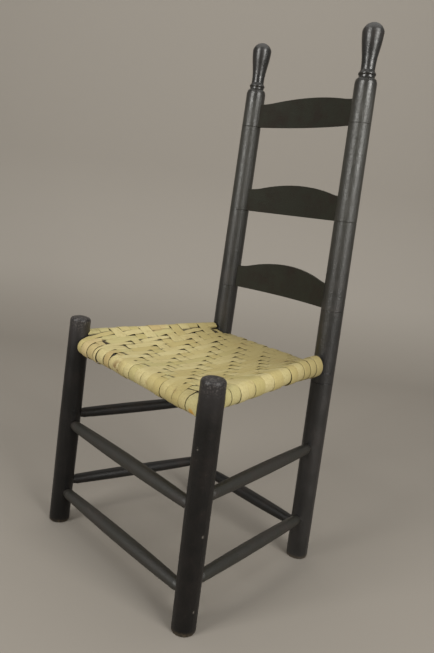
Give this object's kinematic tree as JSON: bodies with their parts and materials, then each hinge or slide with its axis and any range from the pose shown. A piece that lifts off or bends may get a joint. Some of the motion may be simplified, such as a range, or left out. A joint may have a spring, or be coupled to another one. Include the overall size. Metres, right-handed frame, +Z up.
{
  "type": "ladderback chair",
  "caption": "Tall ladderback side chair with turned round posts, club finials, bent arched slats, spindle stretchers and a woven splint seat.",
  "frame": {"origin": "bottom centre of the whole chair's box, on the floor between the four feet", "axes": "+Z up the chair's height, -Y the way the chair faces, +X the sitter's left"},
  "size_m": [0.46, 0.4016, 1.0439],
  "materials": {
    "post_paint": "worn black paint with a dull gloss",
    "slat_paint": "flat black paint",
    "rung_paint": "black paint, satin",
    "splint": "bare pale splint, matte"
  },
  "bodies": {
    "root": {"back_post_left": "post_paint", "back_post_right": "post_paint", "back_seat_rail": "rung_paint", "bottom_slat": "slat_paint", "front_lower_stretcher": "rung_paint", "front_post_left": "post_paint", "front_post_right": "post_paint", "front_seat_rail": "rung_paint", "front_upper_stretcher": "rung_paint", "left_lower_stretcher": "rung_paint", "left_seat_rail": "rung_paint", "left_upper_stretcher": "rung_paint", "middle_slat": "slat_paint", "rear_stretcher": "rung_paint", "right_lower_stretcher": "rung_paint", "right_seat_rail": "rung_paint", "right_upper_stretcher": "rung_paint", "seat_warp": "splint", "seat_weft": "splint", "top_slat": "slat_paint"}
  },
  "joints": []
}
